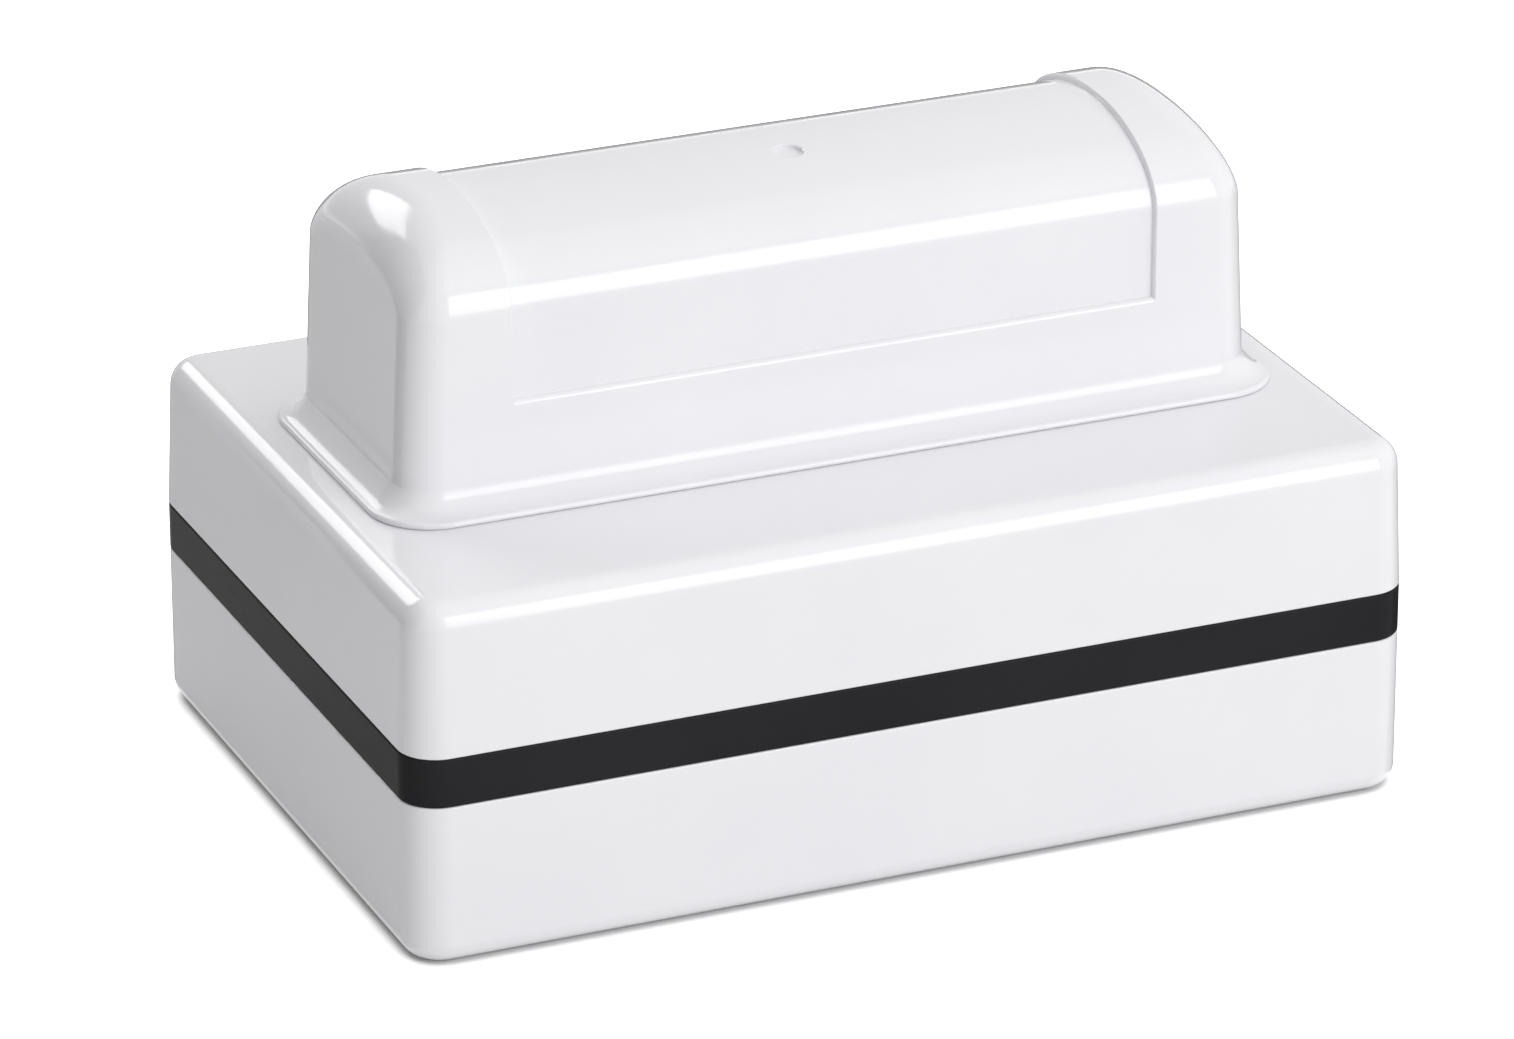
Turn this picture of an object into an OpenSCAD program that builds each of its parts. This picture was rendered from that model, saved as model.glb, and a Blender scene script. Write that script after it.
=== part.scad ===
// Pre-inked stamp: a dust cap, a colour band, a housing and a pull-off bar handle,
// and inside them a sprung skirt round a foam die that holds its own ink.
// The origin is the centre of the cap's underside: X runs along the handle, Y to the back, Z up.

/* [Body] */
// Length of the body, along the handle
body_w = 95; // [78:0.5:130]
// Depth of the body, front to back
body_d = 65; // [54:0.5:95]
// Radius of the body's upright corners
corner_r = 3.6; // [2.8:0.1:5]
// Height of the dust cap
cap_h = 15; // [12.5:0.1:20]
// Height of the colour band that shows
band_h = 4.5; // [3.5:0.1:8]
// Height of the housing above the band
housing_h = 13.9; // [11.5:0.1:20]
// Wall of the cap and the housing
wall = 2; // [1.6:0.1:2.4]
// Thickness of the housing's top
top_t = 2; // [1.6:0.1:3]
// How far each side of the housing leans in by its top
housing_lean = 0.55; // [0:0.05:0.8]
// Radius of the housing's top edges
top_round = 2.5; // [1:0.1:2.8]
// Radius of the cap's bottom edges
cap_round = 2; // [1:0.1:2.5]
// Floor of the cap
cap_floor = 1.8; // [1.4:0.1:2.6]
// Small bevel where cap, band and housing meet
edge_break = 0.2; // [0.1:0.05:0.4]

/* [Colour band] */
// Depth of the band's neck in the cap
lower_neck_h = 5; // [3:0.5:7]
// Height of the band's neck in the housing
upper_neck_h = 5; // [3:0.5:7]
// Thickness of both necks
neck_t = 1.6; // [1.2:0.1:2]
// Gap between the lower neck and the cap
cap_gap = 0.25; // [0.15:0.05:0.4]
// Gap between the upper neck and the housing
neck_gap = 0.1; // [0.05:0.05:0.2]
// Gap between the cap and the ribs on the lower neck that grip it
rib_gap = 0.1; // [0.05:0.05:0.15]
// Distance of the long sides' ribs from the middle
rib_x = 24; // [10:1:30]

/* [Handle] */
// Height of the handle above the housing
handle_h = 25; // [20:0.5:32]
// Thickness of the grip, front to back
grip_t = 27.8; // [25:0.1:38]
// Distance from the handle's foot to each end of the housing
foot_margin = 4.5; // [4:0.1:9]
// How far the foot flares out past the grip's ends
foot_out_end = 2.2; // [1.2:0.1:3]
// How far the foot flares out past the grip's front and back
foot_out_side = 2.8; // [1:0.1:3.2]
// Height of the foot's flare
foot_h = 2.6; // [1.8:0.1:4]
// Thickness of the foot's lip
lip_t = 0.6; // [0.5:0.1:1.4]
// Rise of the arched top above the grip's straight sides
arch_rise = 7.2; // [7:0.1:10]
// How far each end of the grip leans in by the top
end_lean = 1.2; // [0:0.1:2.5]
// Radius of the grip's end edges
end_round = 3.6; // [2.5:0.1:3.7]
// Depth of the label recess
label_depth = 0.6; // [0.3:0.1:1]
// Distance from the label recess to each end of the grip
label_margin = 10.1; // [7:0.1:16]
// Height of the label recess's lower edge above the housing
label_foot = 9.3; // [6:0.1:13]
// Wall of the hollow grip, under the label recess
grip_wall = 2.2; // [1.6:0.1:3]
// Diameter of the pegs that hold the handle
peg_d = 4.8; // [4:0.1:6]
// Distance between the two pegs at each end
peg_pitch = 13; // [10:0.5:16]
// Length of the pegs below the handle's foot
peg_l = 7; // [5:0.5:9]
// Gap round a peg in its socket
peg_gap = 0.1; // [0.05:0.05:0.2]

/* [Skirt and springs] */
// Travel of the skirt when the stamp is pressed
press_travel = 2; // [1:0.1:2.4]
// Free height inside the cap under the skirt
cap_room = 4.6; // [4.2:0.1:6]
// Wall of the skirt
skirt_t = 1.5; // [1.2:0.1:2]
// Gap between the skirt and the band round it
slide_gap = 0.3; // [0.2:0.05:0.5]
// Thickness of the skirt's ears
ear_t = 2.4; // [1.8:0.1:3]
// Wall of the ears round their posts
ear_wall = 2; // [1.5:0.1:2.5]
// Diameter of the posts that the skirt slides on
post_d = 5; // [4:0.1:6]
// Width of the collar on each post that stops the skirt
collar_w = 0.6; // [0.4:0.1:0.8]
// Gap between a post and the bore of its ear
post_gap = 0.15; // [0.1:0.05:0.3]
// Wire of the return springs
wire_d = 0.7; // [0.5:0.05:0.8]
// Turns of a return spring
spring_turns = 6; // [4:1:7]

/* [Die] */
// How far the die sits back from the skirt's lower edge
die_setback = 1.6; // [1:0.1:2]
// Height of the die's printing face above its edge
die_land_h = 1.5; // [1.2:0.1:2.5]
// Thickness of the die's clamped edge
die_edge_h = 1.5; // [1:0.1:2.5]
// Thickness of the ink pad
pad_h = 3; // [2:0.5:4]
// Thickness of the die block's plate
plate_t = 2; // [1.5:0.1:3]
// Wall of the die clamp
clamp_t = 0.9; // [0.7:0.1:1.4]
// Width of the clamp's lip over the die's edge
clamp_lip = 1; // [0.8:0.1:2]
// Thickness of the clamp's lip
clamp_lip_t = 0.8; // [0.6:0.1:1]
// Gap between the clamp and the skirt round it
clamp_gap = 0.5; // [0.3:0.05:0.8]
// Gap round the pieces that the clamp holds
seat_gap = 0.1; // [0.05:0.05:0.2]
// Distance of the re-inking wells from the middle
well_x = 12; // [8:0.5:16]
// Bore of the re-inking wells
well_d = 3.8; // [2.5:0.1:3.9]

/* [Fasteners] */
// Shank of the screws
screw_d = 2.2; // [1.8:0.1:2.6]
// Diameter of the screw heads
head_d = 4.4; // [3.6:0.1:5]
// Height of the screw heads
head_h = 1.6; // [1.2:0.1:2]
// Length of the screws under the head
screw_l = 9; // [6:0.5:10]
// Thickness of the stop washers
washer_t = 0.6; // [0.4:0.1:1]
// Rim of the stop washers past the posts
washer_rim = 1.5; // [1:0.1:1.8]

/* [Hidden] */
$fn = 64;

// Corners of the body, front left first, then round
CORNERS = [[-1, -1], [1, -1], [1, 1], [-1, 1]];
// How far a cut runs past the face it opens
over = 1;
// Gap between a screw and the hole it is driven into
screw_gap = 0.05;
// Depth of a hole below the end of its screw or peg
hole_spare = 1;
// Wall round a screw, peg or well
boss_wall = 1.6;
// Room kept between a fixing and the wall beside it
side_room = 1;
// Corner radii of the band's bore and of the pieces inside the skirt
bore_r = 1.5;
inner_r = 1;

// Levels, from the desk up
band_z = cap_h;
housing_z = band_z + band_h;
top_z = housing_z + housing_h;
ceiling_z = top_z - top_t;
skirt_z = cap_floor + cap_room;
die_z = skirt_z + die_setback;
die_edge_z = die_z + die_land_h;
pad_z = die_edge_z + die_edge_h;
plate_z = pad_z + pad_h;
plate_top = plate_z + plate_t;
head_gap = 0.4;
stop_head_z = plate_top + head_gap;
washer_z = stop_head_z + head_h;
ear_z = washer_z + washer_t;
spring_z = ear_z + ear_t;
skirt_rim = 1;
skirt_top = spring_z + skirt_rim;
clamp_z = die_edge_z - clamp_lip_t;

// Sizes across, from the body's outside in, each [length, depth]
body = [body_w, body_d];
function inside(size, gap) = [size.x - 2 * gap, size.y - 2 * gap];
cavity = inside(body, wall);
cavity_r = corner_r - wall;
lower_neck = inside(cavity, cap_gap);
upper_neck = inside(cavity, neck_gap);
bore = inside(lower_neck, neck_t);
skirt_out = inside(bore, slide_gap);
skirt_r = bore_r - slide_gap;
skirt_in = inside(skirt_out, skirt_t);
clamp_out = inside(skirt_in, clamp_gap);
clamp_in = inside(clamp_out, clamp_t);
stack = inside(clamp_in, seat_gap);
lip_open = inside(clamp_in, clamp_lip);
land = inside(lip_open, seat_gap);

// The handle, its hollow and what stands in it
foot_half_l = body_w / 2 - foot_margin;
grip_half_l = foot_half_l - foot_out_end;
grip_half_t = grip_t / 2;
shoulder_z = handle_h - arch_rise;
label_half_l = grip_half_l - label_margin;
shell_t = label_depth + grip_wall;
hollow_half_t = grip_half_t - shell_t;
hollow_half_l = grip_half_l - end_lean - shell_t;
peg_x = hollow_half_l - side_room - peg_d / 2;
peg_y = peg_pitch / 2;
socket_d = peg_d + 2 * peg_gap;
socket_wall = socket_d + 2 * boss_wall;
screw_x = peg_x - socket_wall / 2 - screw_d - 2 * boss_wall;
screw_y = hollow_half_t - head_d / 2 - side_room;

// The posts and the springs on them
ear_d = post_d + 2 * (post_gap + ear_wall);
ear_inset = 0.3;
post_x = skirt_in.x / 2 - ear_d / 2 - ear_inset;
post_y = skirt_in.y / 2 - ear_d / 2 - ear_inset;
collar_d = post_d + 2 * collar_w;
spring_gap = 0.3;
spring_r = collar_d / 2 + spring_gap + wire_d / 2;
spring_end_gap = 0.1;
spring_h = ceiling_z - spring_z - 2 * spring_end_gap;
washer_d = post_d + 2 * washer_rim;

// Sweeps an outline round a rounded rectangle; its x runs out from the upright corner axes
module around(size, r) {
    for (turn = [0 : 3]) {
        half_out = size[turn % 2] / 2 - r;
        half_run = size[(turn + 1) % 2] / 2 - r;
        rotate(90 * turn) translate([half_out, half_run, 0]) {
            rotate_extrude(angle = 90) children();
            rotate([90, 0, 0]) linear_extrude(2 * half_run) children();
        }
    }
}

// A solid with the outline swept round its edge, filled from low to high
module moulding(size, r, low, high) {
    around(size, r) children();
    translate([r - size.x / 2, r - size.y / 2, low]) cube([size.x - 2 * r, size.y - 2 * r, high - low]);
}

// An upright block with rounded corners
module block(size, r, low, high) {
    moulding(size, r, low, high) translate([0, low]) square([r, high - low]);
}

// A quarter disc that rounds the corner of an outline, from its centre out and up or down
module quarter(centre, r, up) {
    translate(centre) intersection() {
        circle(r);
        translate([0, up ? 0 : -r]) square(r);
    }
}

// Copies to the four corners at the given distances
module four(x, y) {
    for (corner = CORNERS)
        translate([corner.x * x, corner.y * y, 0]) children();
}

module rod(d, low, high) {
    translate([0, 0, low]) cylinder(d = d, h = high - low);
}

// A pan-head screw with a cross in its head, standing head up on the plane it holds
module screw() {
    crown_d = head_d - head_h / 2;
    slot = [crown_d - 2 * edge_break, 0.6, head_h / 2];
    difference() {
        union() {
            rod(head_d, 0, head_h / 2);
            translate([0, 0, head_h / 2]) cylinder(d1 = head_d, d2 = crown_d, h = head_h / 2);
        }
        for (turn = [0, 90])
            rotate(turn) translate([-slot.x / 2, -slot.y / 2, head_h - slot.z]) cube(slot + [0, 0, over]);
    }
    rod(screw_d, -screw_l, 0);
}

// The dust cap
module cap() {
    color("whitesmoke") difference() {
        moulding(body, corner_r, 0, cap_h) {
            polygon([
                [0, 0], [corner_r - cap_round, 0], [corner_r, cap_round],
                [corner_r, cap_h - edge_break], [corner_r - edge_break, cap_h], [0, cap_h]
            ]);
            quarter([corner_r - cap_round, cap_round], cap_round, false);
        }
        block(cavity, cavity_r, cap_floor, cap_h + over);
    }
}

// An upright rib on the lower neck that grips the cap
rib_r = 0.6;
module grip_rib() {
    rod(2 * rib_r, band_z - lower_neck_h, band_z + over);
}

// The collar that shows the ink colour, with a neck down into the cap and one up into the housing
module colour_band() {
    low = band_z;
    high = housing_z;
    color([0.12, 0.12, 0.13]) difference() {
        union() {
            moulding(body, corner_r, low, high) polygon([
                [0, low], [corner_r - edge_break, low], [corner_r, low + edge_break],
                [corner_r, high - edge_break], [corner_r - edge_break, high], [0, high]
            ]);
            block(lower_neck, cavity_r, low - lower_neck_h, low + over);
            block(upper_neck, cavity_r, high - over, high + upper_neck_h);
            for (side = [-1, 1]) {
                for (x = [-rib_x, rib_x])
                    translate([x, side * (cavity.y / 2 - rib_gap - rib_r), 0]) grip_rib();
                translate([side * (cavity.x / 2 - rib_gap - rib_r), 0, 0]) grip_rib();
            }
        }
        block(bore, bore_r, low - lower_neck_h - over, high + upper_neck_h + over);
    }
}

// A length to the nearest micrometre, so that an arc and the line it joins end on the same point
function to_micrometre(length) = round(length * 1000) / 1000;

// Outline of the housing's outside, with its lean and its rounded top edge
module housing_outline() {
    round_z = top_z - top_round;
    round_x = to_micrometre(corner_r - housing_lean * (round_z - housing_z) / housing_h);
    polygon([
        [0, housing_z], [corner_r - edge_break, housing_z], [corner_r, housing_z + edge_break],
        [round_x, round_z], [round_x - top_round, top_z], [0, top_z]
    ]);
    quarter([round_x - top_round, round_z], top_round, true);
}

// The upper shell, with the posts of the skirt and the sockets of the handle under its top
module housing() {
    socket_z = top_z - peg_l - hole_spare;
    color("white") difference() {
        union() {
            difference() {
                moulding(body, corner_r, housing_z, top_z) housing_outline();
                block(cavity, cavity_r, housing_z - over, ceiling_z);
            }
            four(post_x, post_y) {
                rod(post_d, ear_z, ceiling_z + over);
                rod(collar_d, spring_z + press_travel, ceiling_z + over);
            }
            four(peg_x, peg_y) rod(socket_wall, socket_z - top_t, ceiling_z + over);
        }
        four(post_x, post_y) rod(screw_d + 2 * screw_gap, ear_z - over, ear_z + screw_l + hole_spare);
        four(peg_x, peg_y) rod(socket_d, socket_z, top_z + over);
        four(screw_x, screw_y) rod(screw_d + 2 * screw_gap, ceiling_z - over, top_z + over);
        for (side = [-1, 1])
            translate([side * well_x, 0, 0]) rod(well_d, ceiling_z - over, top_z + over);
    }
}

// Steps along the handle's rounded corners, its flared foot and its arched top
CORNER_STEPS = 6;
FLARE_STEPS = 5;
ARCH_STEPS = 12;
// The arch stops short of its crown, where front and back would meet
arch_end = 88;
lip_round = 0.3;
ledge = 0.2;

// A level of the handle's skin is [half length, edge, normal, label inset, corner radius]: the edge
// is the [y, z] of its back side, the normal points out of it, and the inset is the label recess's
// depth there
function straight(out_end, out_side, z, inset) =
    [grip_half_l + out_end, [grip_half_t + out_side, z], [1, 0], inset, end_round + out_end];
function flare(share, z) = straight(foot_out_end * share, foot_out_side * share, z, 0);
function arch(turn) =
    let (normal = [cos(turn) / grip_half_t, sin(turn) / arch_rise])
    [
        grip_half_l, [grip_half_t * cos(turn), shoulder_z + arch_rise * sin(turn)],
        normal / norm(normal), label_depth, end_round
    ];

// The lip with its rounded edge, the hollow curve up to the grip, the straight sides and the arch
lip_share = lip_round / foot_out_side;
levels = [
    flare(1 - edge_break / foot_out_side, 0),
    flare(1, edge_break),
    flare(1, lip_t - lip_round),
    for (turn = [30, 60, 90])
        flare(1 - lip_share * (1 - cos(turn)), lip_t - lip_round * (1 - sin(turn))),
    for (step = [1 : FLARE_STEPS])
        let (turn = 90 * step / FLARE_STEPS)
        flare((1 - lip_share) * (1 - sin(turn)), lip_t + (foot_h - lip_t) * (1 - cos(turn))),
    straight(0, 0, label_foot, 0),
    straight(0, 0, label_foot + ledge, label_depth),
    for (step = [0 : ARCH_STEPS]) arch(arch_end * step / ARCH_STEPS)
];

// The right half of a level's back: round the end's edge, then to the label recess
function right_points(v) = [
    for (step = [0 : CORNER_STEPS])
        let (
            turn = 90 * step / CORNER_STEPS,
            edge = v[1] - v[4] * (1 - sin(turn)) * v[2],
            x = v[0] - v[4] * (1 - cos(turn)) - end_lean * edge[1] / handle_h
        )
        [x, edge[0], edge[1]],
    [label_half_l, v[1][0], v[1][1]],
    let (edge = v[1] - v[3] * v[2])
    [label_half_l - ledge, edge[0], edge[1]]
];
function mirrored(points, sign) =
    [for (i = [len(points) - 1 : -1 : 0]) [points[i].x * sign.x, points[i].y * sign.y, points[i].z]];
function ring(v) =
    let (right = right_points(v), back = concat(right, mirrored(right, [-1, 1])))
    concat(back, mirrored(back, [1, -1]));

// A closed skin through rings of equal count, with strips from back to front at both ends
module skin(rings) {
    count = len(rings[0]);
    last = count * (len(rings) - 1);
    sides = [
        for (row = [0 : len(rings) - 2], i = [0 : count - 1])
            let (a = row * count + i, b = row * count + (i + 1) % count)
            each [[a, a + count, b], [b, a + count, b + count]]
    ];
    ends = [
        for (i = [0 : count / 2 - 2])
            let (across = count - 1 - i)
            each [
                [i, i + 1, across - 1], [i, across - 1, across],
                [last + i + 1, last + i, last + across - 1], [last + i, last + across, last + across - 1]
            ]
    ];
    polyhedron([for (r = rings) each r], concat(sides, ends));
}

// The hollow of the grip, seen along the handle
module hollow_outline() {
    rise = arch_rise - shell_t;
    polygon([
        [-hollow_half_t, -over],
        for (turn = [180 : -15 : 0]) [hollow_half_t * cos(turn), shoulder_z + rise * sin(turn)],
        [hollow_half_t, -over]
    ]);
}

// The bar handle, with four pegs braced to its end walls
module handle() {
    brace_t = 2;
    brace_h = 12;
    brace_l = peg_d + side_room;
    gate_d = 2.8;
    gate_y = 2.5;
    gate_depth = 0.5;
    color("white") translate([0, 0, top_z]) {
        difference() {
            skin([for (v = levels) ring(v)]);
            translate([-hollow_half_l, 0, 0]) rotate([90, 0, 90])
                linear_extrude(2 * hollow_half_l) hollow_outline();
            translate([0, -gate_y, 0]) rod(gate_d, handle_h - label_depth - gate_depth, handle_h);
        }
        for (corner = CORNERS)
            translate([corner.x * peg_x, corner.y * peg_y, 0]) {
                rod(peg_d, -peg_l, brace_h);
                translate([corner.x > 0 ? 0 : -brace_l, -brace_t / 2, head_gap])
                    cube([brace_l, brace_t, brace_h - head_gap]);
            }
    }
}

// The sprung frame that stands on the paper, with an ear for each post
module skirt() {
    reach = ear_d / 2 + ear_inset + skirt_t / 2;
    color([0.16, 0.16, 0.17]) difference() {
        union() {
            difference() {
                block(skirt_out, skirt_r, skirt_z, skirt_top);
                block(skirt_in, inner_r, skirt_z - over, skirt_top + over);
            }
            four(post_x, post_y) rod(ear_d, ear_z, spring_z);
            for (corner = CORNERS)
                translate([corner.x * post_x, corner.y * post_y, ear_z])
                    mirror([corner.x > 0 ? 0 : 1, 0, 0]) mirror([0, corner.y > 0 ? 0 : 1, 0])
                        cube([reach, reach, ear_t]);
        }
        four(post_x, post_y) rod(post_d + 2 * post_gap, ear_z - over, skirt_top + over);
    }
}

// A return spring: one tube wound round its post
SPRING_SIDES = 6;
CURL_RINGS = 8;
function coil_point(share) =
    let (turn = 360 * spring_turns * share)
    [spring_r * cos(turn), spring_r * sin(turn), wire_d / 2 + (spring_h - wire_d) * share];
coil = [for (i = [0 : spring_turns * CURL_RINGS]) coil_point(i / (spring_turns * CURL_RINGS))];
coil_gap = min([
    for (i = [0 : len(coil) - 1 - CURL_RINGS])
        min([for (k = [i + CURL_RINGS - 1 : min(i + CURL_RINGS + 1, len(coil) - 1)]) norm(coil[i] - coil[k])])
]) - wire_d;
echo(least_gap_between_spring_turns = coil_gap);

module return_spring(corner) {
    count = len(coil);
    points = [
        for (i = [0 : count - 1], side = [0 : SPRING_SIDES - 1])
            let (
                turn = 360 * spring_turns * i / (count - 1),
                around_wire = 360 * side / SPRING_SIDES,
                out = wire_d / 2 * cos(around_wire),
                up = wire_d / 2 * sin(around_wire)
            )
            coil[i] + [out * cos(turn), out * sin(turn), up]
    ];
    sides = [
        for (i = [0 : count - 2], side = [0 : SPRING_SIDES - 1])
            let (a = i * SPRING_SIDES + side, b = i * SPRING_SIDES + (side + 1) % SPRING_SIDES)
            each [[a, a + SPRING_SIDES, b], [b, a + SPRING_SIDES, b + SPRING_SIDES]]
    ];
    first_end = [for (side = [0 : SPRING_SIDES - 1]) side];
    last_end = [for (side = [SPRING_SIDES - 1 : -1 : 0]) (count - 1) * SPRING_SIDES + side];
    color("silver") translate([corner.x * post_x, corner.y * post_y, spring_z + spring_end_gap])
        polyhedron(points, concat(sides, [first_end, last_end]));
}
module return_spring_1() { return_spring(CORNERS[0]); }
module return_spring_2() { return_spring(CORNERS[1]); }
module return_spring_3() { return_spring(CORNERS[2]); }
module return_spring_4() { return_spring(CORNERS[3]); }

// The washers that keep the skirt on its posts
module stop_washers() {
    color("gainsboro") four(post_x, post_y) difference() {
        rod(washer_d, washer_z, ear_z);
        rod(screw_d + 2 * screw_gap, washer_z - over, ear_z + over);
    }
}

// The screws that hold the washers, driven up into the posts
module stop_screws() {
    color("silver") four(post_x, post_y) translate([0, 0, washer_z]) mirror([0, 0, 1]) screw();
}

// The rigid plate behind the ink pad, with its screw bosses, wells and ribs
module die_block() {
    boss_d = screw_d + 4 * boss_wall;
    tube_d = well_d + 2 * boss_wall;
    rib_h = (ceiling_z - plate_top) / 2;
    color([0.2, 0.2, 0.21]) difference() {
        union() {
            block(stack, inner_r, plate_z, plate_top);
            four(screw_x, screw_y) rod(boss_d, plate_top - over, ceiling_z);
            for (side = [-1, 1]) {
                translate([side * well_x, 0, 0]) rod(tube_d, plate_top - over, ceiling_z);
                translate([-screw_x, side * screw_y - boss_wall / 2, plate_top - over])
                    cube([2 * screw_x, boss_wall, rib_h]);
                translate([side * screw_x - boss_wall / 2, -screw_y, plate_top - over])
                    cube([boss_wall, 2 * screw_y, rib_h]);
            }
            translate([-screw_x, -boss_wall / 2, plate_top - over]) cube([2 * screw_x, boss_wall, rib_h]);
        }
        four(screw_x, screw_y)
            rod(screw_d + 2 * screw_gap, top_z - screw_l - hole_spare, ceiling_z + over);
        for (side = [-1, 1])
            translate([side * well_x, 0, 0]) rod(well_d, plate_z - over, ceiling_z + over);
    }
}

// The screws that hold the die block, driven down through the housing's top
module block_screws() {
    color("silver") four(screw_x, screw_y) translate([0, 0, top_z]) screw();
}

// The felt that stores the ink
module ink_pad() {
    color([0.1, 0.1, 0.12]) block(stack, inner_r, pad_z, plate_z);
}

// The foam that prints, with a thinner edge under the clamp's lip
module stamp_die() {
    color([0.55, 0.55, 0.58]) {
        block(stack, inner_r, die_edge_z, pad_z);
        block(land, inner_r, die_z, die_edge_z);
    }
}

// The frame that holds die and pad to the block
module die_clamp() {
    color([0.25, 0.25, 0.27]) difference() {
        block(clamp_out, inner_r, clamp_z, plate_top);
        block(clamp_in, inner_r, die_edge_z, plate_top + over);
        block(lip_open, inner_r, clamp_z - over, die_edge_z + over);
    }
}

cap();
colour_band();
housing();
handle();
skirt();
return_spring_1();
return_spring_2();
return_spring_3();
return_spring_4();
stop_washers();
stop_screws();
die_block();
block_screws();
ink_pad();
stamp_die();
die_clamp();
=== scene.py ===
import math

import bmesh
import bpy
from mathutils import Matrix, Vector


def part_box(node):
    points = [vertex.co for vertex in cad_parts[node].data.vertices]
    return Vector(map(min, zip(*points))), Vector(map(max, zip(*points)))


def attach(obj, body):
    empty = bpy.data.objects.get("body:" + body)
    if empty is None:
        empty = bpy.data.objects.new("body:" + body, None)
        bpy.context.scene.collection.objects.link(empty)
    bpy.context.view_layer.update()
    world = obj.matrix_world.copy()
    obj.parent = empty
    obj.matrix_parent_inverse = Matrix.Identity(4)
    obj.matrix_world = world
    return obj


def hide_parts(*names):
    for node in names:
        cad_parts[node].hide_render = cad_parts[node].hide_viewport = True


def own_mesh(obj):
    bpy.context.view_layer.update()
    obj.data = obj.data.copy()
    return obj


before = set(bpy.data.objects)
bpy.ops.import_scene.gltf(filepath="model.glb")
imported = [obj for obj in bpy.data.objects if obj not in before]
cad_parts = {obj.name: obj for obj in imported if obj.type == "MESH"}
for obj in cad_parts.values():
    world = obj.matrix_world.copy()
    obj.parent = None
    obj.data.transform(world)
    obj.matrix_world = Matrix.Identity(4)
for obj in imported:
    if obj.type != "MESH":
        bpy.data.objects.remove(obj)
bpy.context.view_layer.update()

# Sizes, in metres; levels and outer sizes come from the frame
MM = 0.001
CORNER_R = 3.6 * MM
INNER_R = 1 * MM
WALL = 2 * MM
TOP_T = 2 * MM
CAP_FLOOR = 1.8 * MM
CAP_ROUND = 2 * MM
HOUSING_LEAN = 0.55 * MM
TOP_ROUND = 2.5 * MM
EDGE_BREAK = 0.2 * MM
NECK_H = 5 * MM
NECK_GAP = 0.1 * MM
RIB_GAP = 0.1 * MM
RIB_R = 0.6 * MM
RIB_X = 24 * MM
INNER_FILLET = 0.8 * MM
RIM_ROUND = 0.4 * MM
FINE_ROUND = 0.2 * MM
DIE_EDGE_T = 1.5 * MM

HALF_W, HALF_D, CAP_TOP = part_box("cap")[1]
BAND_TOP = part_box("colour_band")[1].z - NECK_H
TOP_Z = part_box("housing")[1].z
CEILING_Z = TOP_Z - TOP_T
SKIRT_LOW, SKIRT_TOP = (corner.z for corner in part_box("skirt"))
WASHER_LOW, WASHER_TOP = (corner.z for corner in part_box("stop_washers"))
CLAMP_LOW, CLAMP_TOP = (corner.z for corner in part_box("die_clamp"))
DIE_LOW, DIE_TOP = (corner.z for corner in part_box("stamp_die"))
DIE_EDGE_LOW = DIE_TOP - DIE_EDGE_T
PAD_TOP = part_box("ink_pad")[1].z

# Walls and gaps under the housing, from the outside in
CAP_GAP = 0.25 * MM
NECK_T = 1.6 * MM
SKIRT_GAP = 0.3 * MM
SKIRT_T = 1.5 * MM
CLAMP_GAP = 0.5 * MM
CLAMP_T = 0.9 * MM
CLAMP_LIP = 1 * MM
STACK_GAP = 0.1 * MM

# Distances in from the body's sides, from the outside in
LOW_NECK = WALL + CAP_GAP
HIGH_NECK = WALL + NECK_GAP
BORE = LOW_NECK + NECK_T
SKIRT_OUT = BORE + SKIRT_GAP
SKIRT_IN = SKIRT_OUT + SKIRT_T
CLAMP_OUT = SKIRT_IN + CLAMP_GAP
CLAMP_IN = CLAMP_OUT + CLAMP_T
STACK = CLAMP_IN + STACK_GAP
LIP_OPEN = CLAMP_IN + CLAMP_LIP
LAND = LIP_OPEN + STACK_GAP

# The handle, measured from its foot on the housing's top
CROWN_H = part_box("handle")[1].z - TOP_Z
FOOT_HALF_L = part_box("handle")[1].x
FOOT_OUT_END = 2.2 * MM
FOOT_OUT_SIDE = 2.8 * MM
FOOT_H = 2.6 * MM
LIP_T = 0.6 * MM
LIP_ROUND = 0.3 * MM
GRIP_HALF_L = FOOT_HALF_L - FOOT_OUT_END
GRIP_HALF_T = 13.9 * MM
ARCH_RISE = 7.2 * MM
SHOULDER_Z = CROWN_H - ARCH_RISE
END_LEAN = 1.2 * MM
END_ROUND = 3.6 * MM
CROWN_ROUND = 6.0 * MM
LABEL_DEPTH = 0.6 * MM
LABEL_MARGIN = 10.1 * MM
LABEL_HALF_L = GRIP_HALF_L - LABEL_MARGIN
LABEL_FOOT = 9.3 * MM
SIDE_LEDGE = 0.2 * MM
FOOT_LEDGE = 0.48 * MM
SHELL_T = 2.8 * MM
HOLLOW_HALF_L = GRIP_HALF_L - END_LEAN - SHELL_T
HOLLOW_HALF_T = GRIP_HALF_T - SHELL_T
GATE_Y = -2.5 * MM
GATE_R = 1.4 * MM
GATE_DEPTH = 0.45 * MM

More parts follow.
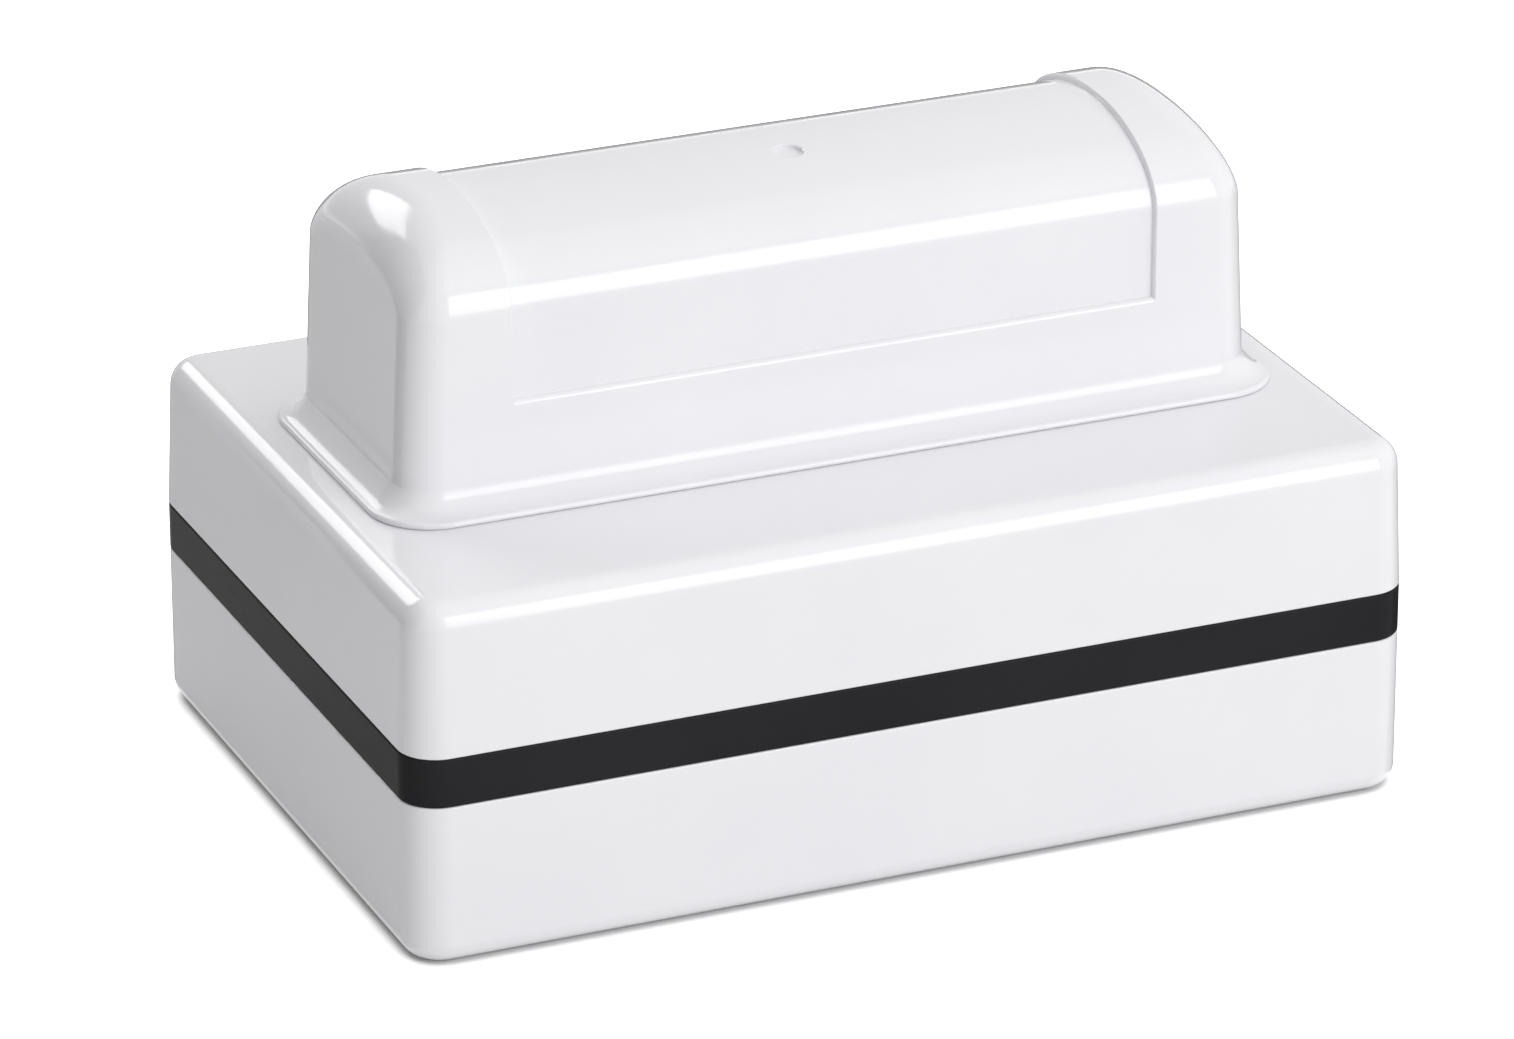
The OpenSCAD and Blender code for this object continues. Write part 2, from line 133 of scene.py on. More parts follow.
# Pegs and their sockets, screws, wells, and the posts that the skirt slides on
SIDE_ROOM = 1 * MM
BOSS_WALL = 1.6 * MM
PEG_R = 2.4 * MM
PEG_L = 7 * MM
PEG_X = HOLLOW_HALF_L - SIDE_ROOM - PEG_R
PEG_Y = 6.5 * MM
BRACE_H = 12 * MM
BRACE_T = 2 * MM
BRACE_L = 2 * PEG_R + SIDE_ROOM
PEG_GAP = 0.1 * MM
SOCKET_R = PEG_R + PEG_GAP
SOCKET_WALL_R = SOCKET_R + BOSS_WALL
SOCKET_ROOM = 1 * MM
SOCKET_LOW = TOP_Z - PEG_L - SOCKET_ROOM
SCREW_R = 1.1 * MM
SCREW_L = 9 * MM
SCREW_GAP = 0.05 * MM
SCREW_HOLE_R = SCREW_R + SCREW_GAP
HEAD_R = 2.2 * MM
HEAD_H = 1.6 * MM
HEAD_GAP = 0.4 * MM
SCREW_X = PEG_X - SOCKET_WALL_R - 2 * SCREW_R - 2 * BOSS_WALL
SCREW_Y = HOLLOW_HALF_T - HEAD_R - SIDE_ROOM
WELL_X = 12 * MM
WELL_R = 1.9 * MM
POST_R = 2.5 * MM
COLLAR_STEP = 0.6 * MM
COLLAR_R = POST_R + COLLAR_STEP
SLIDE_GAP = 0.15 * MM
EAR_WALL = 2 * MM
EAR_R = POST_R + SLIDE_GAP + EAR_WALL
EAR_T = 2.4 * MM
EAR_INSET = 0.3 * MM
EAR_TOP = WASHER_TOP + EAR_T
POST_X = HALF_W - SKIRT_IN - EAR_R - EAR_INSET
POST_Y = HALF_D - SKIRT_IN - EAR_R - EAR_INSET
PRESS_TRAVEL = 2 * MM
WASHER_RIM = 1.5 * MM
WASHER_R = POST_R + WASHER_RIM
WIRE_R = 0.35 * MM
SPRING_GAP = 0.3 * MM
SPRING_R = COLLAR_R + SPRING_GAP + WIRE_R
SPRING_LOW, SPRING_TOP = (corner.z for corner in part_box("return_spring_1"))
SPRING_TURNS = 6
END_PITCH = 0.8 * MM

# How far a cut runs past the face it opens, and a joined piece into what carries it
OVER = 1 * MM

# Edges shorter than this, left by joins and cuts, are cleared
SLIVER = 0.002 * MM

# Steps along round stretches
CORNER_STEPS = 14
ARC_STEPS = 8
FINE_STEPS = 4
ARCH_STEPS = 56
LEDGE_STEPS = 8
FLARE_STEPS = 28
WIRE_SIDES = 12
COIL_STEPS = 36

# An arch's last level stops just short of its crown, so that the strips there keep some width
CROWN_TURN = 89.4

# Edges that turn more than this are shaded as sharp
SHARP_ANGLE = math.radians(42)


# Meshes

def piece_from(name, points, faces):
    """An object at the origin, with its faces turned outwards."""
    shape = bmesh.new()
    corners_made = [shape.verts.new(point) for point in points]
    for face in faces:
        shape.faces.new([corners_made[i] for i in face])
    bmesh.ops.recalc_face_normals(shape, faces=shape.faces)
    mesh = bpy.data.meshes.new(name)
    shape.to_mesh(mesh)
    shape.free()
    piece = bpy.data.objects.new(name, mesh)
    bpy.context.scene.collection.objects.link(piece)
    return piece


def loft(name, rings, closed=False):
    """A skin through rings of equal count. Each ring is a mirror image front to back, so that an open
    run of rings is filled at both ends by strips from front to back."""
    count = len(rings[0])
    rows = len(rings)
    faces = []
    for row in range(rows if closed else rows - 1):
        low = row * count
        high = (row + 1) % rows * count
        for i in range(count):
            k = (i + 1) % count
            faces.append((low + i, low + k, high + k, high + i))
    if not closed:
        last = (rows - 1) * count
        for i in range(count // 2 - 1):
            across = count - 1 - i
            faces.append((i, across, across - 1, i + 1))
            faces.append((last + i, last + i + 1, last + across - 1, last + across))
    return piece_from(name, [p for ring in rings for p in ring], faces)


def rectangle(half_x, half_y, radius, z):
    """A rectangle with round corners, counterclockwise from its right side."""
    points = []
    for x_sign, y_sign, start in ((1, 1, 0), (-1, 1, 90), (-1, -1, 180), (1, -1, 270)):
        for step in range(CORNER_STEPS + 1):
            turn = math.radians(start + 90 * step / CORNER_STEPS)
            points.append((
                x_sign * (half_x - radius) + radius * math.cos(turn),
                y_sign * (half_y - radius) + radius * math.sin(turn),
                z,
            ))
    return points


def body_ring(inset, z):
    """The body's outline, drawn in by inset."""
    return rectangle(HALF_W - inset, HALF_D - inset, max(CORNER_R - inset, INNER_R), z)


def arc(inset, z, radius, start, end, steps=FINE_STEPS):
    """Points of an outline round a centre, each (inset, z); 180 degrees points out of the body."""
    turns = [math.radians(start + (end - start) * step / steps) for step in range(steps + 1)]
    return [(inset + radius * math.cos(turn), z + radius * math.sin(turn)) for turn in turns]


def quarter_turns(steps, end=90.0):
    """Even turns in radians, from 0 to an end in degrees."""
    return [math.radians(end * step / steps) for step in range(steps + 1)]


def swept(name, outline, closed=False):
    """A piece whose outline, of (inset, z), runs round the body."""
    return loft(name, [body_ring(inset, z) for inset, z in outline], closed)


def wall_outline(outer, inner, low, high, edge):
    """The closed outline of a wall with rounded edges."""
    return [
        *arc(outer + edge, low + edge, edge, 270, 180),
        *arc(outer + edge, high - edge, edge, 180, 90),
        *arc(inner - edge, high - edge, edge, 90, 0),
        *arc(inner - edge, low + edge, edge, 0, -90),
    ]


def lathe(name, outline, place=(0, 0), steps=48, closed=False):
    """A round piece about an upright axis; the outline's points are (radius, z)."""
    x, y = place
    turns = [2 * math.pi * (step + 0.5) / steps for step in range(steps)]
    rings = [
        [(x + radius * math.cos(turn), y + radius * math.sin(turn), z) for turn in turns]
        for radius, z in outline
    ]
    return loft(name, rings, closed)


def slab(name, low, high, radius):
    """An upright block between two opposite corners, with round upright edges."""
    middle = (Vector(low) + Vector(high)) / 2
    half_x, half_y = (abs(high[i] - low[i]) / 2 for i in (0, 1))
    rings = [
        [(x + middle.x, y + middle.y, z) for x, y, z in rectangle(half_x, half_y, radius, level)]
        for level in (low[2], high[2])
    ]
    return loft(name, rings)


def hole(place, radius, low, high, lead):
    """A cutter for a round hole with a small lead-in at its upper face."""
    outline = [(radius, low), (radius, high - lead), (radius + lead, high), (radius + lead, high + OVER)]
    return lathe("hole", outline, place)


def corners(x, y):
    return [(-x, -y), (x, -y), (x, y), (-x, y)]


def combine(piece, others, operation):
    """Joins the others to a piece or cuts them out of it, removes them, and clears slivers."""
    for other in others:
        change = piece.modifiers.new("combine", "BOOLEAN")
        change.object = other
        change.operation = operation
        change.solver = "EXACT"
    graph = bpy.context.evaluated_depsgraph_get()
    mesh = bpy.data.meshes.new_from_object(piece.evaluated_get(graph))
    shape = bmesh.new()
    shape.from_mesh(mesh)
    bmesh.ops.dissolve_degenerate(shape, dist=SLIVER, edges=shape.edges)
    shape.to_mesh(mesh)
    shape.free()
    piece.modifiers.clear()
    piece.data = mesh
    for other in others:
        bpy.data.objects.remove(other)


def repeat(piece, moves):
    """Turns a piece's mesh into copies of it, one for each move."""
    whole = bmesh.new()
    for move in moves:
        copy = piece.data.copy()
        copy.transform(move)
        whole.from_mesh(copy)
        bpy.data.meshes.remove(copy)
    whole.to_mesh(piece.data)
    whole.free()


def finish_piece(piece, body, look, node):
    """Gives a piece its place on a body, its material and even shading on its flat faces."""
    piece.data.materials.clear()
    piece.data.materials.append(look)
    piece.data.shade_smooth()
    piece.data.set_sharp_from_angle(angle=SHARP_ANGLE)
    even = piece.modifiers.new("even shading", "WEIGHTED_NORMAL")
    even.keep_sharp = True
    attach(piece, body)
    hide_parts(node)


# Materials

def new_material(name):
    """A material with its shader and its object coordinates."""
    look = bpy.data.materials.new(name)
    look.use_nodes = True
    nodes = look.node_tree.nodes
    shader = nodes["Principled BSDF"]
    place = nodes.new("ShaderNodeTexCoord").outputs["Object"]
    return look, shader, place


def noise(look, place, scale, detail=3):
    node = look.node_tree.nodes.new("ShaderNodeTexNoise")
    node.inputs["Scale"].default_value = scale
    node.inputs["Detail"].default_value = detail
    look.node_tree.links.new(place, node.inputs["Vector"])
    return node.outputs["Fac"]


def cells(look, place, scale):
    """Distance from the middle of small cells, for pores."""
    node = look.node_tree.nodes.new("ShaderNodeTexVoronoi")
    node.inputs["Scale"].default_value = scale
    look.node_tree.links.new(place, node.inputs["Vector"])
    return node.outputs["Distance"]


def stretch(look, place, shares):
    """Coordinates scaled along each axis, to draw a pattern out."""
    node = look.node_tree.nodes.new("ShaderNodeMapping")
    node.inputs["Scale"].default_value = shares
    look.node_tree.links.new(place, node.inputs["Vector"])
    return node.outputs["Vector"]


def ramp(look, value, low, high, start=0.35, end=0.65):
    """Spreads a pattern's range from start to end between two colours or two grey levels."""
    node = look.node_tree.nodes.new("ShaderNodeValToRGB")
    for element, position, level in zip(node.color_ramp.elements, (start, end), (low, high)):
        element.position = position
        element.color = (*level, 1) if isinstance(level, tuple) else (level, level, level, 1)
    look.node_tree.links.new(value, node.inputs["Fac"])
    return node.outputs["Color"]


def bump(look, shader, height, strength, depth):
    node = look.node_tree.nodes.new("ShaderNodeBump")
    node.inputs["Strength"].default_value = strength
    node.inputs["Distance"].default_value = depth
    look.node_tree.links.new(height, node.inputs["Height"])
    look.node_tree.links.new(node.outputs["Normal"], shader.inputs["Normal"])


def moulded(name, low, high, rough, grain_scale, grain_depth, mirror=0.5):
    """Moulded plastic: faint drifts of colour and gloss, and a fine surface grain."""
    colour_scale, gloss_scale, grain_strength = 45, 160, 0.3
    look, shader, place = new_material(name)
    links = look.node_tree.links
    shader.inputs["Specular IOR Level"].default_value = mirror
    links.new(ramp(look, noise(look, place, colour_scale), low, high), shader.inputs["Base Color"])
    links.new(ramp(look, noise(look, place, gloss_scale), *rough), shader.inputs["Roughness"])
    bump(look, shader, noise(look, place, grain_scale, detail=4), grain_strength, grain_depth)
    return look


def plated(name, low, high, rough, shares):
    """Bare or plated steel: drifts of tone, and fine lines drawn out along one way."""
    tone_scale, line_scale = 600, 1000
    look, shader, place = new_material(name)
    links = look.node_tree.links
    shader.inputs["Metallic"].default_value = 1
    links.new(ramp(look, noise(look, place, tone_scale), low, high), shader.inputs["Base Color"])
    lines = noise(look, stretch(look, place, shares), line_scale, detail=4)
    links.new(ramp(look, lines, *rough), shader.inputs["Roughness"])
    bump(look, shader, lines, strength=0.25, depth=0.01 * MM)
    return look


def felted(name, low, high):
    """Felt: matted fibres with a soft sheen."""
    fibre_scale, fibre_shares = 1200, (1, 3, 2)
    look, shader, place = new_material(name)
    links = look.node_tree.links
    fibres = noise(look, stretch(look, place, fibre_shares), fibre_scale, detail=6)
    links.new(ramp(look, fibres, low, high), shader.inputs["Base Color"])
    links.new(ramp(look, fibres, low=0.75, high=0.95), shader.inputs["Roughness"])
    shader.inputs["Sheen Weight"].default_value = 0.4
    bump(look, shader, fibres, strength=0.8, depth=0.15 * MM)
    return look


def porous(name, pore, skin):
    """Foam: fine dark pores in a smooth skin."""
    pore_scale, gloss_scale = 3200, 250
    look, shader, place = new_material(name)
    links = look.node_tree.links
    pores = cells(look, place, pore_scale)
    links.new(ramp(look, pores, pore, skin, start=0.15, end=0.45), shader.inputs["Base Color"])
    links.new(ramp(look, noise(look, place, gloss_scale), low=0.6, high=0.75), shader.inputs["Roughness"])
    bump(look, shader, pores, strength=0.5, depth=0.04 * MM)
    return look


white_plastic = moulded(
    "white_plastic", (0.84, 0.84, 0.87), (0.86, 0.86, 0.885),
    rough=(0.1, 0.14), grain_scale=700, grain_depth=0.004 * MM,
)
black_plastic = moulded(
    "black_plastic", (0.021, 0.021, 0.023), (0.026, 0.026, 0.028),
    rough=(0.14, 0.2), grain_scale=900, grain_depth=0.006 * MM, mirror=0.028,
)
dark_plastic = moulded(
    "dark_plastic", (0.035, 0.035, 0.04), (0.05, 0.05, 0.055),
    rough=(0.5, 0.62), grain_scale=2600, grain_depth=0.05 * MM,
)
spring_wire = plated(
    "spring_wire", (0.55, 0.55, 0.56), (0.65, 0.65, 0.66),
    rough=(0.22, 0.34), shares=(1, 1, 6),
)
zinc_steel = plated(
    "zinc_steel", (0.6, 0.61, 0.64), (0.72, 0.72, 0.7),
    rough=(0.2, 0.35), shares=(1, 5, 1),
)
ink_felt = felted("ink_felt", (0.012, 0.012, 0.016), (0.03, 0.03, 0.036))
die_foam = porous("die_foam", (0.06, 0.06, 0.065), (0.18, 0.18, 0.19))


# The dust cap

def make_cap():
    outline = [
        *arc(CAP_ROUND, CAP_ROUND, CAP_ROUND, 270, 180, ARC_STEPS),
        *arc(EDGE_BREAK, CAP_TOP - EDGE_BREAK, EDGE_BREAK, 180, 90),
        *arc(WALL - RIM_ROUND, CAP_TOP - RIM_ROUND, RIM_ROUND, 90, 0),
        *arc(WALL + INNER_FILLET, CAP_FLOOR + INNER_FILLET, INNER_FILLET, 180, 270),
    ]
    cap = swept("cap_shell", outline)
    finish_piece(cap, "cap", white_plastic, "cap")


# The colour band, with its necks and grip ribs

def make_band():
    neck_low = CAP_TOP - NECK_H
    neck_high = BAND_TOP + NECK_H
    edge = RIM_ROUND
    outline = [
        *arc(EDGE_BREAK, CAP_TOP + EDGE_BREAK, EDGE_BREAK, 270, 180),
        *arc(EDGE_BREAK, BAND_TOP - EDGE_BREAK, EDGE_BREAK, 180, 90),
        (HIGH_NECK, BAND_TOP),
        *arc(HIGH_NECK + edge, neck_high - edge, edge, 180, 90),
        *arc(BORE - edge, neck_high - edge, edge, 90, 0),
        *arc(BORE - edge, neck_low + edge, edge, 0, -90),
        *arc(LOW_NECK + edge, neck_low + edge, edge, 270, 180),
        (LOW_NECK, CAP_TOP),
    ]
    band = swept("colour_band_ring", outline, closed=True)
    rib_y = HALF_D - WALL - RIB_GAP - RIB_R
    rib_end_x = HALF_W - WALL - RIB_GAP - RIB_R
    places = corners(RIB_X, rib_y) + [(-rib_end_x, 0), (rib_end_x, 0)]
    tip_z = neck_low + edge + RIB_R
    tip = arc(0, tip_z, RIB_R, start=-75, end=0)
    ribs = [lathe("rib", [*tip, (RIB_R, CAP_TOP + EDGE_BREAK)], place, steps=24) for place in places]
    combine(band, ribs, "UNION")
    finish_piece(band, "stamp", black_plastic, "colour_band")


# The housing, with the posts of the skirt and the sockets of the handle under its top

def make_housing():
    round_z = TOP_Z - TOP_ROUND
    lean = HOUSING_LEAN * (round_z - BAND_TOP) / (TOP_Z - BAND_TOP)
    outline = [
        *arc(WALL + INNER_FILLET, CEILING_Z - INNER_FILLET, INNER_FILLET, 90, 180),
        *arc(WALL - RIM_ROUND, BAND_TOP + RIM_ROUND, RIM_ROUND, 0, -90),
        *arc(EDGE_BREAK, BAND_TOP + EDGE_BREAK, EDGE_BREAK, 270, 180),
        *arc(lean + TOP_ROUND, round_z, TOP_ROUND, 180, 90, 2 * ARC_STEPS),
    ]
    housing = swept("housing_shell", outline)
    collar_z = EAR_TOP + PRESS_TRAVEL
    root_z = CEILING_Z + OVER
    post_outline = [
        (POST_R - FINE_ROUND, WASHER_TOP), (POST_R, WASHER_TOP + FINE_ROUND), (POST_R, collar_z),
        (COLLAR_R, collar_z), (COLLAR_R, root_z),
    ]
    socket_outline = [
        *arc(SOCKET_WALL_R - RIM_ROUND, SOCKET_LOW - TOP_T + RIM_ROUND, RIM_ROUND, -90, 0),
        (SOCKET_WALL_R, root_z),
    ]
    posts = [lathe("post", post_outline, place) for place in corners(POST_X, POST_Y)]
    sockets = [lathe("socket", socket_outline, place) for place in corners(PEG_X, PEG_Y)]
    combine(housing, posts + sockets, "UNION")
    under_top = CEILING_Z - OVER
    pilot = [(SCREW_HOLE_R, WASHER_TOP - OVER), (SCREW_HOLE_R, WASHER_TOP + SCREW_L + OVER)]
    cuts = [lathe("pilot", pilot, place) for place in corners(POST_X, POST_Y)]
    cuts += [hole(place, SOCKET_R, SOCKET_LOW, TOP_Z, RIM_ROUND) for place in corners(PEG_X, PEG_Y)]
    cuts += [hole(place, SCREW_HOLE_R, under_top, TOP_Z, FINE_ROUND) for place in corners(SCREW_X, SCREW_Y)]
    cuts += [hole((x, 0), WELL_R, under_top, TOP_Z, RIM_ROUND) for x in (-WELL_X, WELL_X)]
    combine(housing, cuts, "DIFFERENCE")
    finish_piece(housing, "stamp", white_plastic, "housing")


# The handle

def ledge_profile():
    """Shares of a ledge's width and of its depth: a rounded edge, then a steep wall down to its foot."""
    edge_width, edge_depth, edge_turn = 0.9, 0.55, 75
    turns = quarter_turns(LEDGE_STEPS, edge_turn)
    across = edge_width / math.sin(turns[-1])
    down = edge_depth / (1 - math.cos(turns[-1]))
    edge = [(across * math.sin(turn), down * (1 - math.cos(turn))) for turn in turns]
    return edge + [(1, 1)]


def handle_ring(half_l, edge, normal, inset, end_round, lean=END_LEAN):
    """A level of the handle: edge is the (y, z) of its back side, normal points out of it there,
    and inset is the depth of the label recess."""
    y, z = edge
    out_y, out_z = normal
    right = []
    for turn in quarter_turns(CORNER_STEPS):
        back = end_round * (1 - math.sin(turn))
        point_z = z - back * out_z
        x = half_l - end_round * (1 - math.cos(turn)) - lean * point_z / CROWN_H
        right.append((x, y - back * out_y, point_z))
    for along, down in ledge_profile():
        depth = inset * down
        right.append((LABEL_HALF_L - SIDE_LEDGE * along, y - depth * out_y, z - depth * out_z))
    back_side = right + [(-x, y, z) for x, y, z in reversed(right)]
    ring = back_side + [(x, -y, z) for x, y, z in reversed(back_side)]
    return [(x, y, z + TOP_Z) for x, y, z in ring]


def upright(side, end, z, inset=0.0):
    """A level with upright sides, flared out by shares of the foot's flare at the sides and the ends."""
    out_end = FOOT_OUT_END * end
    edge = (GRIP_HALF_T + FOOT_OUT_SIDE * side, z)
    return handle_ring(GRIP_HALF_L + out_end, edge, (1, 0), inset, END_ROUND + out_end)


def arched(turn, half_l, half_t, rise, inset, end_round, lean=END_LEAN):
    """A level of an arch over the shoulder."""
    out = Vector((math.cos(turn) / half_t, math.sin(turn) / rise)).normalized()
    edge = (half_t * math.cos(turn), SHOULDER_Z + rise * math.sin(turn))
    return handle_ring(half_l, edge, tuple(out), inset, end_round, lean)


def handle_rings():
    """Levels from the hollow's crown down its inside, round the foot and up the outside.
    A run of turns leaves its first one out where the run before it ends on the same level."""
    rings = [
        arched(turn, HOLLOW_HALF_L, HOLLOW_HALF_T, ARCH_RISE - SHELL_T, 0, INNER_R, 0)
        for turn in reversed(quarter_turns(ARC_STEPS, CROWN_TURN))
    ]
    rings.append(handle_ring(HOLLOW_HALF_L, (HOLLOW_HALF_T, 0), (1, 0), 0, INNER_R, 0))
    lip_share = LIP_ROUND / FOOT_OUT_SIDE
    for turn in quarter_turns(FINE_STEPS):
        share = 1 - lip_share * (1 - math.sin(turn))
        rings.append(upright(share, share, LIP_ROUND * (1 - math.cos(turn))))
    for turn in quarter_turns(FINE_STEPS)[1:]:
        share = 1 - lip_share * (1 - math.cos(turn))
        rings.append(upright(share, share, LIP_T - LIP_ROUND * (1 - math.sin(turn))))
    for turn in quarter_turns(FLARE_STEPS)[1:]:
        side = 1 - math.sin(turn)
        end = math.sqrt(side)
        z = LIP_T + (FOOT_H - LIP_T) * (1 - math.cos(turn))
        rings.append(upright((1 - lip_share) * side, (1 - lip_share) * end, z))
    rings += [
        upright(0, 0, LABEL_FOOT + FOOT_LEDGE * along, LABEL_DEPTH * down)
        for along, down in ledge_profile()
    ]
    for turn in quarter_turns(ARCH_STEPS, CROWN_TURN):
        end_round = END_ROUND + (CROWN_ROUND - END_ROUND) * math.sin(turn) ** 2
        rings.append(arched(turn, GRIP_HALF_L, GRIP_HALF_T, ARCH_RISE, LABEL_DEPTH, end_round))
    return rings


def make_gate_cutter():
    """The dish that the moulding gate left in the label recess, square to the arch."""
    turn = math.acos(-GATE_Y / GRIP_HALF_T)
    out = Vector((0, -math.cos(turn) / GRIP_HALF_T, math.sin(turn) / ARCH_RISE)).normalized()
    surface = Vector((0, GATE_Y, TOP_Z + SHOULDER_Z + ARCH_RISE * math.sin(turn))) - LABEL_DEPTH * out
    edge = FINE_ROUND / 2
    outline = [
        *arc(GATE_R - FINE_ROUND, FINE_ROUND - GATE_DEPTH, FINE_ROUND, -90, 0),
        (GATE_R, -edge), (GATE_R + edge, 0), (GATE_R + edge, OVER),
    ]
    cutter = lathe("gate", outline)
    cutter.matrix_world = Matrix.Translation(surface) @ out.to_track_quat("Z", "Y").to_matrix().to_4x4()
    return cutter


def make_handle():
    handle = loft("handle_grip", handle_rings())
    tip_r = 2 * RIM_ROUND
    peg_outline = [
        *arc(PEG_R - tip_r, TOP_Z - PEG_L + tip_r, tip_r, -90, 0),
        (PEG_R, TOP_Z + BRACE_H),
    ]
    added = [lathe("peg", peg_outline, place) for place in corners(PEG_X, PEG_Y)]
    for x, y in corners(PEG_X, PEG_Y):
        low = (x, y - BRACE_T / 2, TOP_Z + HEAD_GAP)
        high = (x + math.copysign(BRACE_L, x), y + BRACE_T / 2, TOP_Z + BRACE_H - FINE_ROUND)
        added.append(slab("brace", low, high, FINE_ROUND))
    combine(handle, added, "UNION")
    combine(handle, [make_gate_cutter()], "DIFFERENCE")
    finish_piece(handle, "handle", white_plastic, "handle")


# The sprung skirt, with an ear for each post

def make_skirt():
    frame_outline = wall_outline(SKIRT_OUT, SKIRT_IN, SKIRT_LOW, SKIRT_TOP, RIM_ROUND)
    skirt = swept("skirt_frame", frame_outline, closed=True)
    reach = EAR_R + EAR_INSET + (SKIRT_IN - SKIRT_OUT) / 2
    ear_outline = [
        *arc(EAR_R - FINE_ROUND, WASHER_TOP + FINE_ROUND, FINE_ROUND, -90, 0),
        *arc(EAR_R - FINE_ROUND, EAR_TOP - FINE_ROUND, FINE_ROUND, 0, 90),
    ]
    ears = []
    bores = []
    for x, y in corners(POST_X, POST_Y):
        ears.append(lathe("ear", ear_outline, (x, y)))
        wall_end = (x + math.copysign(reach, x), y + math.copysign(reach, y), EAR_TOP)
        ears.append(slab("ear_root", (x, y, WASHER_TOP), wall_end, FINE_ROUND))
        bores.append(hole((x, y), POST_R + SLIDE_GAP, WASHER_TOP - OVER, EAR_TOP, FINE_ROUND))
    combine(skirt, ears, "UNION")
    combine(skirt, bores, "DIFFERENCE")
    finish_piece(skirt, "skirt", dark_plastic, "skirt")


# The return springs, with closed end turns

def coil_height(share):
    """How far up the wire's middle is at a share of its length: the end turns lie close."""
    end_turns = 1 / SPRING_TURNS
    close = END_PITCH / (SPRING_TOP - SPRING_LOW - 2 * WIRE_R)
    if share < end_turns:
        return close * share / end_turns
    if share > 1 - end_turns:
        return 1 - close * (1 - share) / end_turns
    return close + (1 - 2 * close) * (share - end_turns) / (1 - 2 * end_turns)


def make_spring(number, place):
    steps = SPRING_TURNS * COIL_STEPS
    rings = []
    for step in range(steps + 1):
        share = step / steps
        turn = 2 * math.pi * SPRING_TURNS * share
        z = SPRING_LOW + WIRE_R + (SPRING_TOP - SPRING_LOW - 2 * WIRE_R) * coil_height(share)
        ring = []
        for side in range(WIRE_SIDES):
            around = 2 * math.pi * (side + 0.5) / WIRE_SIDES
            out = SPRING_R + WIRE_R * math.cos(around)
            up = z + WIRE_R * math.sin(around)
            ring.append((place[0] + out * math.cos(turn), place[1] + out * math.sin(turn), up))
        rings.append(ring)
    spring = loft(f"spring_coil_{number}", rings)
    finish_piece(spring, "stamp", spring_wire, f"return_spring_{number}")
    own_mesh(spring)


# Screws and washers

def make_screw(name):
    """A pan-head screw, head up, with a cross recess; its head stands on the level z = 0."""
    side_h = 0.35 * HEAD_H
    tip_r = 0.1 * SCREW_R
    dome_turn = 82
    recess_z = 0.45 * HEAD_H
    arm_round = 0.05 * HEAD_R
    dome = [
        (HEAD_R * math.cos(turn), side_h + (HEAD_H - side_h) * math.sin(turn))
        for turn in quarter_turns(ARC_STEPS, dome_turn)
    ]
    outline = [
        (tip_r, -SCREW_L), (SCREW_R, -SCREW_L + 2 * SCREW_R), (SCREW_R, 0),
        (HEAD_R - FINE_ROUND, 0), (HEAD_R, FINE_ROUND), *dome,
    ]
    screw = lathe(name, outline)
    recess = []
    for turn in (0, math.pi / 2):
        rings = [
            rectangle(0.32 * HEAD_R, 0.1 * HEAD_R, arm_round, recess_z),
            rectangle(0.62 * HEAD_R, 0.16 * HEAD_R, arm_round, HEAD_H + FINE_ROUND),
        ]
        arm = loft("arm", rings)
        arm.matrix_world = Matrix.Rotation(turn, 4, "Z")
        recess.append(arm)
    combine(screw, recess, "DIFFERENCE")
    return screw


def make_block_screws():
    screws = make_screw("block_screw_set")
    repeat(screws, [Matrix.Translation((x, y, TOP_Z)) for x, y in corners(SCREW_X, SCREW_Y)])
    finish_piece(screws, "stamp", zinc_steel, "block_screws")


def make_stop_screws():
    screws = make_screw("stop_screw_set")
    turned = Matrix.Rotation(math.pi, 4, "X")
    repeat(screws, [Matrix.Translation((x, y, WASHER_LOW)) @ turned for x, y in corners(POST_X, POST_Y)])
    finish_piece(screws, "stamp", zinc_steel, "stop_screws")


def make_washers():
    edge = FINE_ROUND
    outline = [
        (SCREW_HOLE_R, WASHER_LOW), *arc(WASHER_R - edge, WASHER_LOW + edge, edge, -90, 0),
        *arc(WASHER_R - edge, WASHER_TOP - edge, edge, 0, 90), (SCREW_HOLE_R, WASHER_TOP),
    ]
    washers = lathe("stop_washer_set", outline, closed=True)
    repeat(washers, [Matrix.Translation((x, y, 0)) for x, y in corners(POST_X, POST_Y)])
    finish_piece(washers, "stamp", zinc_steel, "stop_washers")


# The felt, the foam die and the clamp that holds them

def make_pad():
    edge = 2 * RIM_ROUND
    outline = [
        *arc(STACK + edge, DIE_TOP + edge, edge, 270, 180),
        *arc(STACK + edge, PAD_TOP - edge, edge, 180, 90),
    ]
    pad = swept("ink_pad_felt", outline)
    finish_piece(pad, "stamp", ink_felt, "ink_pad")


def make_die():
    outline = [
        *arc(LAND + RIM_ROUND, DIE_LOW + RIM_ROUND, RIM_ROUND, 270, 180),
        (LAND, DIE_EDGE_LOW), (STACK, DIE_EDGE_LOW), (STACK, DIE_TOP),
    ]
    die = swept("stamp_die_foam", outline)
    finish_piece(die, "stamp", die_foam, "stamp_die")


